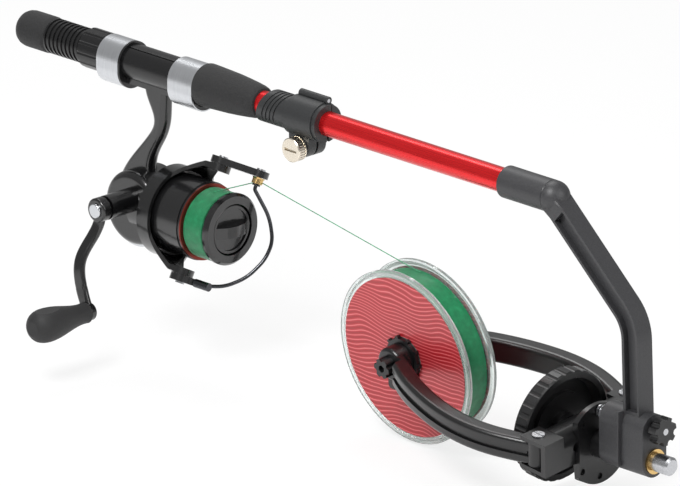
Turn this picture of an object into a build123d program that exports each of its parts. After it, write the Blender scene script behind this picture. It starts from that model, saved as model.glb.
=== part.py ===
# Fishing line winder: a rod-like handle with a reel seat, a red tube with a clamp, and a swivelling
# yoke that holds a spool of braid, with the spinning reel that winds the line.
# Millimetres. X runs along the handle from its butt end, Y away from the crank, Z up.
# The origin is the centre of the butt's end face.
import math
import os

from build123d import *

# ---- driving dimensions -------------------------------------------------------------------------

# fits, each on the radius or on one face
bond_gap = 0.03          # glued and pressed parts
running_gap = 0.06       # parts that turn or slide on each other
face_gap = 0.1           # flat faces of neighbours that move apart
seat_gap = 0.3           # rounded pieces that only lie beside each other

# tube and its elbow
tube_d = 15.0
tube_wall = 1.2
tube_start = 12.0
sleeve_start = 413.6
sleeve_d = 19.8
sleeve_length = 36.4
tube_insertion = 32.0

# butt grip
grip_d = 22.6
grip_length = 28.0
grip_round = 6.5

# reel seat
barrel_d = 21.8
barrel_end = 158.0
thread_root_d = 20.4
thread_pitch = 3.5
thread_crest = 1.3
thread_length = 48.0
flat_width = 9.0
flat_depth = 0.7
flat_groove = 0.8
nut_start = 58.0
nut_length = 17.9
nut_d = 24.6
nut_flutes = 12
nut_flute_d = 3.0
nut_flute_depth = 0.6
nut_chamfer = 1.0
hood_start = 76.0
hood_length = 20.0
hood_wall = 0.8
hood_drop = 4.4
hood_collar = 1.6
band_wall = 0.7
fixed_hood_length = 20.5

# foregrip, as distances along X and diameters
foregrip_length = 49.0
foregrip_d = 26.6
foregrip_waist_d = 24.8
foregrip_waist = 24.0
foregrip_end_d = 19.6
foregrip_end_round = 3.0

# clamp on the tube
clamp_start = 235.2
clamp_length = 26.8
clamp_d = 24.5
clamp_rim_d = 23.0
clamp_rim = 3.2
clamp_split = 1.6
collar_start = 213.4
collar_d = 21.2
collar_pitch = 18.0
collar_yaw = -8.0
collar_land = 4.4
collar_groove = 1.1
collar_groove_depth = 0.6
collar_groove_pitch = 3.0
collar_groove_count = 4
knuckle_d = 5.0
knuckle_z = 12.9
knuckle_y = 3.2
knuckle_inset = 2.4
knuckle_pin_d = 2.4
lug_inset = 1.0
lug_length = 17.0
lug_thickness = 6.4
lug_drop = 24.0
screw_z = -17.6
screw_d = 4.0
screw_head_d = 15.0
screw_head_length = 7.0
screw_knurls = 28
screw_knurl_d = 1.1
screw_slot = 1.8
screw_slot_depth = 1.4
screw_chamfer = 0.5
screw_rim = 1.2
screw_knurl_depth = 0.4
clamp_nut_d = 8.0
clamp_nut_length = 3.4
screw_hole_slack = 0.7
nut_play = 0.3           # lets the jaw tilt on the screw

# support arm: a moulded I-section down from the elbow to the swivel hub
leg_depth = 13.0
leg_width = 12.5
leg_recess = 3.9
leg_flange = 1.8
leg_bend_radius = 26.0
pocket_inset = 9.0
elbow_x = 452.0
knee_x = 520.5
knee_z = -61.0
foot_x = 523.0
hub_start = 500.0
hub_length = 36.0
hub_width = 20.0
hub_top = -115.0
swivel_z = -144.0
ridge_height = 2.4

# swivel shaft and its spring plunger
shaft_d = 10.0
bush_wall = 1.4
bush_flange = 1.2
shaft_head_d = 11.4
shaft_head_length = 13.5
shaft_start = 484.0
shaft_chamfer = 1.4
index_offset = 20.5
index_rod_d = 4.0
index_collar_d = 8.2
index_collar = 1.2
index_holes = 8
index_travel = 3.0
spring_wire = 0.8
spring_turns = 4
spring_arcs = 4           # arcs in one turn
knob_d = 17.6
knob_thickness = 6.0
knob_lobes = 7
knob_notch_d = 4.4
knob_gap = 3.4

# yoke frame: its middle, its tilt and its base
yoke_x = 482.0
yoke_z = -140.0
yoke_pitch = 6.3
yoke_roll = 7.4
base_front = -13.6
base_back = 7.0
base_half_height = 10.8
base_half_length = 28.0
base_round = 8.5
bracket_flange = 2.5
bracket_reach = 43.5
bracket_web = 3.6
pivot_x = -6.0
pivot_y = 36.0
pivot_pin_d = 5.0
pivot_head_d = 7.6
pivot_head = 0.9
pivot_slot = 0.8
index_plate_start = 488.0
index_plate = 3.0
index_plate_r = 25.0
journal_d = 17.0
socket_d = 6.4
socket_y = 17.0

# arms of the yoke; the course gives X and Y of the far arm's centre line in the yoke frame
arm_course = [(-20, 41.2), (-34, 45.6), (-48, 48.0), (-64, 48.2), (-82, 45.6), (-104, 39.4), (-122, 31.8),
              (-134, 25.0)]
arm_height = 16.0
arm_thickness = 11.5
arm_eye_d = 14.0
arm_round = 3.0
arm_groove = 4.0
arm_groove_depth = 1.6
tip_x = -144.0
tip_inner = 14.4
tip_outer = 24.4
tip_d = 21.0
boss_round = 2.5
arm_open_deg = 15.0
tail_lever = 8.5
tail_d = 4.0
tail_thickness = 5.0
tail_neck = 3.4

# hand wheel and its draw bar
wheel_d = 70.0
wheel_front = -29.5
wheel_thickness = 10.0
wheel_z = -3.0
wheel_lobes = 30
wheel_notch_d = 5.0
wheel_notch_depth = 0.8
wheel_rim = 4.5
wheel_chamfer = 1.0
wheel_dish = 2.0
wheel_web = 3.0
wheel_step_d = 41.0
wheel_step = 3.0
wheel_hub_d = 17.0
stud_d = 8.0
draw_bar_width = 7.0
draw_bar_height = 6.0
draw_bar_wall = 2.0

# cones and spindles that hold the line spool
cone_disc_d = 26.0
cone_disc = 2.4
cone_big_d = 19.2
cone_small_d = 12.0
cone_depth = 5.6
cone_prongs = 10
cone_prong = 1.6
cone_prong_width = 2.0
spindle_d = 5.0
spindle_knob_d = 12.4
spindle_knob = 6.4
spindle_lobes = 6
spindle_notch_d = 3.4
spindle_notch_depth = 1.4
spindle_hex = 5.0
spindle_hex_depth = 4.0
tab_length = 17.0
tab_width = 7.0
tab_thickness = 1.6

# line spool with its braid
spool_flange_d = 110.0
spool_half_width = 11.0
spool_flange = 1.9
spool_rim = 3.2
spool_rim_proud = 0.6
spool_drum_d = 52.0
spool_drum_wall = 2.0
spool_bore_d = 20.2
label_d = 101.0
label_thickness = 0.3
label_hole_d = 27.0
braid_d = 98.8
braid_turns = 14
braid_turn_d = 0.6
winding_arcs = 8          # arcs in one turn of braid or line

# spinning reel: gear case, foot and stem
reel_z = -86.5
foot_start = 84.0
foot_end = 150.0
foot_width = 13.0
foot_thickness = 2.8
foot_toe = 1.5
foot_toe_length = 16.0
stem_thickness = 9.0
stem_round = 3.6
stem_rear_top = 108.0
stem_rear = [(111, -21), (115.6, -32), (110, -43), (101, -53.4), (91.5, -65), (85, -78)]
stem_front_top = 127.0
stem_front = [(126.2, -21), (125.4, -32), (121.5, -43), (115.5, -53.4), (112.8, -64), (117, -74)]
case_x = 106.0
case_z = -88.0
case_d = 46.0
case_half_width = 13.5
case_wall = 2.2
case_round = 4.5
case_front = 126.2
front_wall = 2.7
case_nose_d = 34.0
cover_thickness = 3.2
rear_trim_wall = 1.5
rear_trim_width = 17.0
crank_x = 108.0
crank_z = -81.5
gear_boss_d = 15.0
gear_boss_end = -36.0
bearing_d = 12.0
bearing_width = 4.0
cover_screw_angles = (115, 205, 300)
body_screw_d = 4.4
body_screw_head = 1.0

# drive of the reel
crank_shaft_d = 4.4
drive_gear_d = 26.6
drive_gear_teeth = 36
drive_gear_thickness = 3.2
drive_tooth = 0.7
drive_tooth_length = 3.4
pinion_d = 7.6
pinion_teeth = 7
pinion_length = 6.0
pinion_tail = 0.5
pinion_tooth = 1.2
pinion_sleeve_d = 6.6
main_shaft_d = 3.0
main_shaft_start = 98.0
mesh_gap = 0.15

# rotor and bail, in the frame that turns with the rotor
rotor_turn = 27.8
rotor_start = 126.8
rotor_disc = 2.6
ring_length = 9.4
ring_d = 56.6
ring_wall = 2.4
rotor_hub_d = 13.0
rotor_hub_end = 139.0
bail_x = 154.0
rotor_arm_end = 160.5
rotor_arm_r = 35.0
rotor_arm_thickness = 3.2
rotor_arm_width = 19.0
rotor_waist = 11.8
rotor_waist_x = 4.0
rotor_arm_tip_width = 13.0
bail_arm_thickness = 4.2
bail_hub_d = 14.0
bail_pin_d = 4.8
roller_x = 180.0
roller_y = 7.0
roller_d = 8.0
roller_width = 4.0
roller_groove = 0.6
roller_lip = 1.0
roller_pin_d = 3.0
roller_boss_d = 11.0
roller_head_d = 5.0
roller_head = 1.2
bail_wire_d = 2.3
wire_bend = 0.45
# course of the bail wire: X and Y from the roller's axis, Z from the reel's axis
bail_wire_course = [(9, 11, 14.6), (12.5, 17, 1.6), (12, 16.5, -10), (8, 11, -24), (1, 2.5, -33.6)]
bail_sleeve_d = 5.2
bail_sleeve_length = 11.0
bail_sleeve_gap = 0.8
bail_screw_d = 5.6
bail_screw_head = 1.0

# reel spool and drag
skirt_d = 48.6
skirt_wall = 1.6
skirt_start = 133.0
back_flange = 157.0
back_flange_d = 47.4
back_flange_thickness = 1.6
trim_ring = 1.2
arbor_d = 34.6
lip_start = 175.6
lip_d = 44.6
lip_length = 5.0
lip_round = 1.6
drag_recess_d = 32.0
drag_recess = 5.4
stroke_back = 3.0
reel_line_d = 42.2
reel_line_turns = 13
reel_turn_d = 0.6
drag_knob_d = 31.0
drag_knob_rim = 4.6
drag_wing_height = 5.6
drag_wing_width = 7.0
drag_washer_d = 20.0
drag_washer = 0.8
drag_washer_count = 3

# crank
crank_length = 61.0
crank_lean = 3.3
crank_hub_d = 15.0
crank_hub_start = -37.0
crank_hub_length = 7.0
crank_arm_width = 7.6
crank_arm_thickness = 5.0
crank_web = 4.2
crank_arm_y = -51.0
crank_bow = 5.5
crank_bow_start = 14.0
crank_bow_end = 31.0
crank_bow_last = 46.4
crank_hub_round = 1.4
crank_eye_round = 1.2
crank_cap_d = 9.0
crank_cap_height = 1.4
crank_eye_d = 11.0
knob_spindle_d = 4.0
grip_root_d = 13.0
grip_belly_d = 21.2
grip_knob_length = 44.0
# share of the knob's length and its radius there, from its root to its end
grip_course = [(0.3, 7.4), (0.68, 10.4), (0.92, 8.8), (1.0, 4.6)]
grip_flat = 0.86

# the line between the reel and the spool
line_d = 0.6
line_offset = 5.0
line_bend = 0.55
line_passes = 6           # repeats that settle the line on the roller

# ---- shared helpers -----------------------------------------------------------------------------

BASE = (Align.CENTER, Align.CENTER, Align.MIN)
TURNS = {"x": Rot(0, 90, 0), "y": Rot(-90, 0, 0), "z": Rot(0, 0, 0)}


def bar(axis, diameter, start, end, u=0.0, v=0.0):
    """Round bar along an axis; u and v are its places on the two other axes, in X, Y, Z order."""
    place = {"x": (start, u, v), "y": (u, start, v), "z": (u, v, start)}[axis]
    return Pos(*place) * TURNS[axis] * Cylinder(diameter / 2, end - start, align=BASE)


def ring(axis, outer, inner, start, end, u=0.0, v=0.0):
    """Round bar with a round bore."""
    return bar(axis, outer, start, end, u, v) - bar(axis, inner, start, end, u, v)


def block(x, y, z):
    """Box from its lowest and highest place on each axis."""
    box = Box(x[1] - x[0], y[1] - y[0], z[1] - z[0], align=(Align.MIN, Align.MIN, Align.MIN))
    return Pos(x[0], y[0], z[0]) * box


def plate_y(outline, half_width):
    """Outline of X and Z points, carried to both sides in Y."""
    points = [(x, 0, z) for x, z in outline]
    return extrude(make_face(Polyline(*points, close=True)), half_width, dir=(0, 1, 0), both=True)


def lathe(points):
    """Turned part about X from a closed outline of places along X and radii."""
    outline = Polyline(*[(x, 0, radius) for x, radius in points], close=True)
    return revolve(make_face(outline), Axis.X)


def around_x(count, shape, first=0.0):
    """Copies of a shape spread evenly about the X axis."""
    return [Rot(first + 360 * step / count, 0, 0) * shape for step in range(count)]


def fluted(body, count, notch_d, radius, start, end):
    """A round part about X with round notches let into its rim."""
    notch = bar("x", notch_d, start, end, 0, radius)
    return body - around_x(count, notch)


def band(points, width):
    """Left and right edges of a bent strip of even width, mitred at its corners."""
    sides = ([], [])
    for place, point in enumerate(points):
        before = points[max(place - 1, 0)]
        after = points[min(place + 1, len(points) - 1)]
        first = Vector(point[0] - before[0], point[1] - before[1])
        last = Vector(after[0] - point[0], after[1] - point[1])
        first = last if first.length == 0 else first.normalized()
        last = first if last.length == 0 else last.normalized()
        first = first.normalized()
        mean = (first + last).normalized()
        reach = width / 2 / mean.dot(first)
        for side, sign in zip(sides, (1, -1)):
            side.append((point[0] - sign * mean.Y * reach, point[1] + sign * mean.X * reach))
    return sides


def wound(radius, wire, length, turns, arcs_per_turn):
    """One unbroken wire wound about X in short arcs, with a straight end of one diameter."""
    steps = arcs_per_turn * turns

    def point(step):
        angle = 2 * math.pi * step / arcs_per_turn
        return Vector(length * step / steps, radius * math.cos(angle), radius * math.sin(angle))

    arcs = [ThreePointArc(point(step), point(step + 0.5), point(step + 1)) for step in range(steps)]
    first = arcs[0] % 0
    last = arcs[-1] % 1
    lead = Line(point(0) - first * wire, point(0))
    tail = Line(point(steps), point(steps) + last * wire)
    path = Wire([lead, *arcs, tail])
    print("winding: turns", turns, "gap", round(length / turns - wire, 3))
    return sweep(Plane(origin=lead @ 0, z_dir=first) * Circle(wire / 2), path=path)


def save(**nodes):
    """Write each node to its own file."""
    os.makedirs("parts", exist_ok=True)
    for name, shape in nodes.items():
        export_step(shape, f"parts/{name}.step")


YOKE = Pos(yoke_x, 0, yoke_z) * Rot(0, yoke_pitch, 0) * Rot(yoke_roll, 0, 0)
ROTOR = Pos(0, 0, reel_z) * Rot(-rotor_turn, 0, 0)

tube_bore = tube_d - 2 * tube_wall
tube_end = sleeve_start + tube_insertion
tube_seat = tube_d + 2 * bond_gap

# ---- handle -------------------------------------------------------------------------------------


def butt_grip():
    """Foam end of the handle, over the tube's end."""
    grip = fillet(bar("x", grip_d, 0, grip_length).edges().sort_by(Axis.X)[0], grip_round)
    return grip - bar("x", tube_seat, tube_start - face_gap, grip_length)


def main_tube():
    """Aluminium tube from the butt to the elbow."""
    return ring("x", tube_d, tube_bore, tube_start, tube_end)


def seat_barrel():
    """Moulded reel seat with its thread and the double line along its top."""
    thread_end = grip_length + thread_length
    core = bar("x", thread_root_d, grip_length, thread_end)
    barrel = bar("x", barrel_d, thread_end - thread_crest, barrel_end)
    body = core + barrel
    crests = int(thread_length / thread_pitch)
    for step in range(crests):
        start = grip_length + step * thread_pitch
        body += ring("x", barrel_d, thread_root_d - 1, start, start + thread_crest)
    top = barrel_d / 2 - flat_depth
    for side in (-1, 1):
        middle = side * flat_width / 2
        edges = (middle - flat_groove / 2, middle + flat_groove / 2)
        body -= block((thread_end, barrel_end), edges, (top - flat_depth, barrel_d))
    return body - bar("x", tube_seat, grip_length, barrel_end)


def seat_lock_nut():
    """Knurled nut that drives the sliding hood along the thread."""
    nut = bar("x", nut_d, nut_start, nut_start + nut_length)
    nut = chamfer(nut.edges(), nut_chamfer)
    reach = nut_d / 2 + nut_flute_d / 2 - nut_flute_depth
    nut = fluted(nut, nut_flutes, nut_flute_d, reach, nut_start, nut_start + nut_length)
    return nut - bar("x", barrel_d + 2 * running_gap, nut_start, nut_start + nut_length)


def hood_outline(radius, drop, start, length):
    """Oval sleeve: a round top over the barrel and a round bottom over the reel foot."""
    both = bar("x", 2 * radius, start, start + length) + bar("x", 2 * radius, start, start + length, 0, -drop)
    return both + block((start, start + length), (-radius, radius), (-drop, 0))


def foot_pocket(start, length, slack):
    """Space that the reel foot fills under the barrel."""
    outer = barrel_d + 2 * (foot_thickness + 2 * slack)
    half = foot_width / 2 + slack
    sector = bar("x", outer, start, start + length) - bar("x", barrel_d - 1, start, start + length)
    return sector & block((start, start + length), (-half, half), (-outer, 0))


hood_bore = barrel_d + 2 * running_gap
hood_r = hood_bore / 2 + hood_wall
band_r = hood_r + bond_gap + band_wall
fixed_start = barrel_end - fixed_hood_length
band_length = hood_length - hood_collar


def hood(start, length, bore):
    """Moulded hood with its bore and the pocket for the foot."""
    body = hood_outline(hood_r, hood_drop, start, length)
    return body - bar("x", bore, start, start + length) - foot_pocket(start, length, face_gap)


def hood_with_collar(start, length, bore, collar_at):
    """Hood with a proud black collar beside its metal band."""
    collar = hood_outline(band_r, hood_drop, collar_at, hood_collar)
    collar -= bar("x", bore, start, start + length) + foot_pocket(start, length, face_gap)
    return hood(start, length, bore) + collar


def hood_band(start, length):
    """Brushed aluminium band round a hood."""
    inner = hood_outline(hood_r + bond_gap, hood_drop, start, length)
    return hood_outline(band_r, hood_drop, start, length) - inner


def foregrip():
    """Tapered foam grip in front of the reel seat."""
    end = barrel_end + foregrip_length
    waist = barrel_end + foregrip_waist
    outline = [
        (barrel_end + bond_gap, tube_seat / 2),
        (barrel_end + bond_gap, foregrip_d / 2),
        (waist, foregrip_waist_d / 2),
        (end - foregrip_end_round, foregrip_end_d / 2 + foregrip_end_round / 2),
        (end, foregrip_end_d / 2 - foregrip_end_round / 2),
        (end, tube_seat / 2),
    ]
    return lathe(outline)


save(
    butt_grip=butt_grip(),
    main_tube=main_tube(),
    seat_barrel=seat_barrel(),
    seat_lock_nut=seat_lock_nut(),
    sliding_hood=hood_with_collar(hood_start, hood_length, hood_bore, hood_start + band_length),
    sliding_hood_band=hood_band(hood_start, band_length - bond_gap),
    fixed_hood=hood(fixed_start, fixed_hood_length, barrel_d + 2 * bond_gap),
    fixed_hood_band=hood_band(fixed_start, fixed_hood_length),
    foregrip=foregrip(),
)

# ---- clamp --------------------------------------------------------------------------------------

clamp_end = clamp_start + clamp_length
clamp_bore = tube_d + 2 * running_gap
lug_start = clamp_start + lug_inset
lug_end = lug_start + lug_length
screw_x = (lug_start + lug_end) / 2
knuckle_start = clamp_start + lug_inset
knuckle_end = clamp_end - knuckle_inset
knuckle_third = (knuckle_end - knuckle_start) / 3
near_y = -clamp_split / 2
far_y = clamp_split / 2


def clamp_ring():
    """Round of the clamp with its rims, before it is split."""
    body = bar("x", clamp_d, clamp_start, clamp_end - clamp_rim)
    return body + bar("x", clamp_rim_d, clamp_end - clamp_rim, clamp_end)


def lug(side):
    """Lug below one half of the clamp, with a round foot."""
    inner = side * clamp_split / 2
    outer = inner + side * lug_thickness
    y = (min(inner, outer), max(inner, outer))
    foot_r = lug_length / 2
    foot_z = -lug_drop + foot_r
    body = block((lug_start, lug_end), y, (foot_z, -tube_d / 2))
    return body + bar("y", lug_length, y[0], y[1], screw_x, foot_z)


def knuckle(start, end):
    """One stretch of the hinge barrel on top of the clamp."""
    return bar("x", knuckle_d, start, end, knuckle_y, knuckle_z)


def knuckle_space(start, end):
    """Room for the other half's knuckle."""
    return bar("x", knuckle_d + 2 * seat_gap, start - face_gap, end + face_gap, knuckle_y, knuckle_z)


def clamp_halves():
    """Near half, which carries the collar and the screw, and the far half, the hinged jaw."""
    middle = (knuckle_start + knuckle_third, knuckle_end - knuckle_third)
    split_y = knuckle_y
    near_side = block((clamp_start, clamp_end), (-clamp_d, split_y - seat_gap), (0, clamp_d))
    near_side += block((clamp_start, clamp_end), (-clamp_d, near_y), (-clamp_d, 0))
    far_side = block((clamp_start, clamp_end), (split_y + seat_gap, clamp_d), (0, clamp_d))
    far_side += block((clamp_start, clamp_end), (far_y, clamp_d), (-clamp_d, 0))
    near = (clamp_ring() & near_side) + lug(-1)
    far = (clamp_ring() & far_side) + lug(1)
    near -= knuckle_space(*middle)
    far -= knuckle_space(knuckle_start, middle[0]) + knuckle_space(middle[1], knuckle_end)
    near += knuckle(knuckle_start, middle[0]) + knuckle(middle[1], knuckle_end)
    far += knuckle(*middle)
    pin_bore = bar("x", knuckle_pin_d + 2 * running_gap, knuckle_start, knuckle_end, knuckle_y, knuckle_z)
    tube_hole = bar("x", clamp_bore, clamp_start, clamp_end)
    screw_hole = bar("y", screw_d + 2 * screw_hole_slack, -clamp_d, clamp_d, screw_x, screw_z)
    nut_start = far_y + lug_thickness - clamp_nut_length
    nut_seat = bar("y", clamp_nut_d + 2 * bond_gap, nut_start, clamp_d, screw_x, screw_z)
    return near - pin_bore - tube_hole - screw_hole, far - pin_bore - tube_hole - screw_hole - nut_seat


def clamp_collar():
    """Ribbed collar with a slanted end, fixed to the clamp's near half."""
    end = clamp_start - face_gap
    reach = 2 * collar_d
    collar = ring("x", collar_d, clamp_bore, collar_start - reach, end)
    slant = Pos(collar_start, 0, 0) * Rot(0, collar_pitch, collar_yaw)
    collar -= slant * block((-2 * reach, 0), (-reach, reach), (-reach, reach))
    rind = ring("x", collar_d + 1, collar_d - 2 * collar_groove_depth, collar_start - reach, end)
    for step in range(collar_groove_count):
        start = collar_land + step * collar_groove_pitch
        collar -= rind & (slant * block((start, start + collar_groove), (-reach, reach), (-reach, reach)))
    return collar


def clamp_hinge_pin():
    """Pin through the clamp's knuckles."""
    return bar("x", knuckle_pin_d, knuckle_start, knuckle_end, knuckle_y, knuckle_z)


def clamp_screw():
    """Thumb screw with a knurled, slotted head."""
    seat = near_y - lug_thickness
    head_end = seat - face_gap - screw_head_length
    head = bar("x", screw_head_d, 0, screw_head_length)
    head = chamfer(head.edges(), screw_chamfer)
    reach = (screw_head_d + screw_knurl_d) / 2 - screw_knurl_depth
    head = fluted(head, screw_knurls, screw_knurl_d, reach, screw_rim, screw_head_length - screw_rim)
    half_slot = screw_slot / 2
    head -= block((0, screw_slot_depth), (-screw_head_d / 3, screw_head_d / 3), (-half_slot, half_slot))
    shank_length = screw_head_length + lug_thickness * 2 + clamp_split
    screw = head + bar("x", screw_d, screw_head_length - 1, shank_length)
    return Pos(screw_x, head_end, screw_z) * Rot(0, 0, 90) * screw


def clamp_nut():
    """Brass nut pressed into the jaw's lug."""
    outer = far_y + lug_thickness
    hole = screw_d + 2 * running_gap + nut_play
    return ring("y", clamp_nut_d, hole, outer - clamp_nut_length, outer, screw_x, screw_z)


clamp_near, clamp_far = clamp_halves()
save(
    clamp_body=clamp_near,
    clamp_jaw=clamp_far,
    clamp_collar=clamp_collar(),
    clamp_hinge_pin=clamp_hinge_pin(),
    clamp_screw=clamp_screw(),
    clamp_nut=clamp_nut(),
)

# ---- support arm and swivel ---------------------------------------------------------------------

hub_end = hub_start + hub_length
hub_r = hub_width / 2
hub_bottom = swivel_z - hub_r
bush_d = shaft_d + 2 * running_gap + 2 * bush_wall
index_z = swivel_z + index_offset
sleeve_end = sleeve_start + sleeve_length


def leg_outline(points, width, radius):
    """Face of a bent strip with round bends, in X and Z."""
    left, right = band(points, width)
    outer = FilletPolyline(*[(x, 0, z) for x, z in left], radius=radius + width / 2)
    inner = FilletPolyline(*[(x, 0, z) for x, z in right], radius=radius - width / 2)
    ends = [Line(outer @ 0, inner @ 0), Line(outer @ 1, inner @ 1)]
    return make_face([*outer.edges(), *inner.edges(), *ends])


def hub_body():
    """Swivel hub: a flat-sided housing round the shaft and the plunger."""
    top = hub_top - hub_r
    rounds = [bar("x", hub_width, hub_start, hub_end, 0, z) for z in (swivel_z, top)]
    return rounds[0] + rounds[1] + block((hub_start, hub_end), (-hub_r, hub_r), (swivel_z, top))


def support_arm():
    """One moulding: sleeve on the tube, bent I-section leg and the hub at its foot."""
    line = [(elbow_x, 0), (knee_x, knee_z), (foot_x, hub_top - hub_r)]
    leg = extrude(leg_outline(line, leg_depth, leg_bend_radius), leg_width / 2, dir=(0, 1, 0), both=True)
    pocket_x = elbow_x + pocket_inset
    pocket_line = [(pocket_x, line_height(pocket_x)), (knee_x, knee_z), (foot_x, hub_top)]
    pocket = leg_outline(pocket_line, leg_depth - 2 * leg_flange, leg_bend_radius)
    for side in (-1, 1):
        web = leg_width / 2 - leg_recess
        leg -= Pos(0, side * web, 0) * extrude(pocket, leg_recess + 1, dir=(0, side, 0))
    sleeve = bar("x", sleeve_d, sleeve_start, sleeve_end)
    shoulder = Pos(elbow_x, 0, 0) * Sphere(sleeve_d / 2)
    direction = Vector(knee_x - elbow_x, 0, knee_z).normalized()
    neck_end = Plane(origin=(elbow_x + direction.X * leg_depth, 0, direction.Z * leg_depth),
                     x_dir=(0, 1, 0), z_dir=(direction.X, 0, direction.Z))
    neck_start = Plane(origin=(sleeve_end, 0, 0), x_dir=(0, 1, 0), z_dir=(1, 0, 0))
    neck = loft([neck_start * RectangleRounded(sleeve_d * 0.9, sleeve_d * 0.9, sleeve_d * 0.3),
                 neck_end * RectangleRounded(leg_width, leg_depth, 1.0)])
    body = sleeve + shoulder + neck + leg + hub_body()
    ridge = [(foot_x - leg_depth / 2, hub_top), (foot_x - leg_depth / 2 + leg_flange, hub_top),
             (foot_x - leg_depth / 2 + leg_flange, hub_bottom + hub_r / 2)]
    body += Pos(0, -hub_r, 0) * plate_y(ridge, ridge_height)
    body -= bar("x", tube_seat, sleeve_start, tube_end)
    body -= bar("x", bush_d + 2 * bond_gap, hub_start, hub_end, 0, swivel_z)
    return body - bar("x", index_rod_d + 2 * running_gap, hub_start, hub_end, 0, index_z)


def line_height(x):
    """Height of the leg's upper run at a place along X."""
    return knee_z * (x - elbow_x) / (knee_x - elbow_x)


def swivel_bush():
    """Flanged bush pressed into the hub."""
    bore = shaft_d + 2 * running_gap
    bush = ring("x", bush_d, bore, hub_start, hub_end, 0, swivel_z)
    flange_d = bush_d + 2 * bush_flange
    return bush + ring("x", flange_d, bore, hub_end, hub_end + bush_flange, 0, swivel_z)


def swivel_shaft():
    """Steel shaft that the yoke turns on, with a chamfered head at its outer end."""
    head_start = hub_end + bush_flange + face_gap
    head_end = head_start + shaft_head_length
    head = bar("x", shaft_head_d, head_start + 2, head_end, 0, swivel_z)
    head = chamfer(head.edges().sort_by(Axis.X)[-1], shaft_chamfer)
    return head + bar("x", shaft_d, shaft_start, head_start + 2, 0, swivel_z)


def index_rod():
    """Plunger rod with the collar that its spring pushes on."""
    tip = index_plate_start + index_plate + seat_gap
    rod = bar("x", index_rod_d, tip, hub_end + knob_gap + index_travel + knob_thickness / 2, 0, index_z)
    return rod + bar("x", index_collar_d, tip + seat_gap, tip + seat_gap + index_collar, 0, index_z)


def index_knob():
    """Lobed knob on the plunger rod."""
    start = hub_end + knob_gap
    body = bar("x", knob_d, start, start + knob_thickness)
    body = fluted(body, knob_lobes, knob_notch_d, knob_d / 2, start, start + knob_thickness)
    body += bar("x", knob_d / 2, hub_end + face_gap, start)
    body -= bar("x", index_rod_d + 2 * bond_gap, hub_end, start + index_travel + knob_thickness / 2)
    return Pos(0, 0, index_z) * body


def index_spring():
    """Compression spring between the rod's collar and the hub."""
    start = index_plate_start + index_plate + 2 * seat_gap + index_collar + face_gap
    radius = (index_collar_d - spring_wire) / 2
    length = hub_start - start - face_gap - spring_wire
    spring = wound(radius, spring_wire, length, spring_turns, spring_arcs)
    return Pos(start + spring_wire / 2, 0, index_z) * spring


save(
    support_arm=support_arm(),
    swivel_bush=swivel_bush(),
    swivel_shaft=swivel_shaft(),
    index_rod=index_rod(),
    index_knob=index_knob(),
    index_spring=index_spring(),
)

# ---- yoke, in its own tilted frame --------------------------------------------------------------

flange_z = arm_height / 2 + running_gap


def yoke_base():
    """Moulded crossbar with a bracket at each end, the index plate and the journal."""
    x = (base_front, base_back)
    y = (-base_half_length, base_half_length)
    bar_body = block(x, y, (-base_half_height, base_half_height))
    top_edges = bar_body.edges().filter_by(Axis.Y).group_by(Axis.Z)[-1]
    bar_body = fillet(top_edges, base_round)
    cavity = (pivot_x - draw_bar_width / 2 - running_gap, pivot_x + draw_bar_width / 2 + running_gap)
    travel = tail_lever * math.radians(arm_open_deg)
    half_height = draw_bar_height / 2 + running_gap
    bar_body -= block((cavity[0] - travel - seat_gap, cavity[1]), y, (-half_height, half_height))
    for side in (-1, 1):
        reach = (side * base_half_length, side * bracket_reach)
        y_range = (min(reach), max(reach))
        web = block((base_back - bracket_web, base_back), y_range, (-base_half_height, base_half_height))
        bar_body += web
        for level in (-1, 1):
            z = (level * flange_z, level * (flange_z + bracket_flange))
            bar_body += block(x, y_range, (min(z), max(z)))
        bar_body -= bar("z", pivot_pin_d + 2 * bond_gap, -base_half_height - 1, base_half_height + 1,
                        pivot_x, side * pivot_y)
        bar_body -= bar("x", socket_d, base_back - bracket_web, base_back + 1, side * socket_y, 0)
    bar_body -= bar("x", stud_d + 2 * running_gap, base_front, pivot_x + draw_bar_width, 0, wheel_z)
    body = YOKE * bar_body
    back = YOKE * block((base_back - bracket_web, base_back + index_plate_r), (-journal_d, journal_d),
                        (-index_plate_r, index_plate_r))
    plate_end = index_plate_start + index_plate
    disc = bar("x", 2 * index_plate_r, shaft_start, plate_end, 0, swivel_z) & back
    plate = bar("x", 2 * index_plate_r, index_plate_start, plate_end, 0, swivel_z)
    plate &= block((index_plate_start, plate_end), (-journal_d, journal_d), (-200, 0))
    body += disc + plate + bar("x", journal_d, plate_end, hub_start - face_gap, 0, swivel_z)
    body -= bar("x", shaft_d + 2 * bond_gap, shaft_start, hub_start, 0, swivel_z)
    hole = bar("x", index_rod_d + 2 * running_gap, plate_end - index_plate / 2, plate_end, 0, index_offset)
    holes = [Pos(0, 0, swivel_z) * turned for turned in around_x(index_holes, hole)]
    return body - holes


def arm_centre_line():
    """Places of the far arm's centre line from its pivot to its tip."""
    tip_y = (tip_inner + tip_outer) / 2
    return [(pivot_x, pivot_y), *arm_course, (tip_x, tip_y)]


def offset_line(points, distance):
    """Points of a smooth line carried sideways by a distance."""
    moved = []
    for place, (x, y) in enumerate(points):
        before = points[max(place - 1, 0)]
        after = points[min(place + 1, len(points) - 1)]
        along = Vector(after[0] - before[0], after[1] - before[1]).normalized()
        moved.append((x - along.Y * distance, y + along.X * distance))
    return moved


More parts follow.
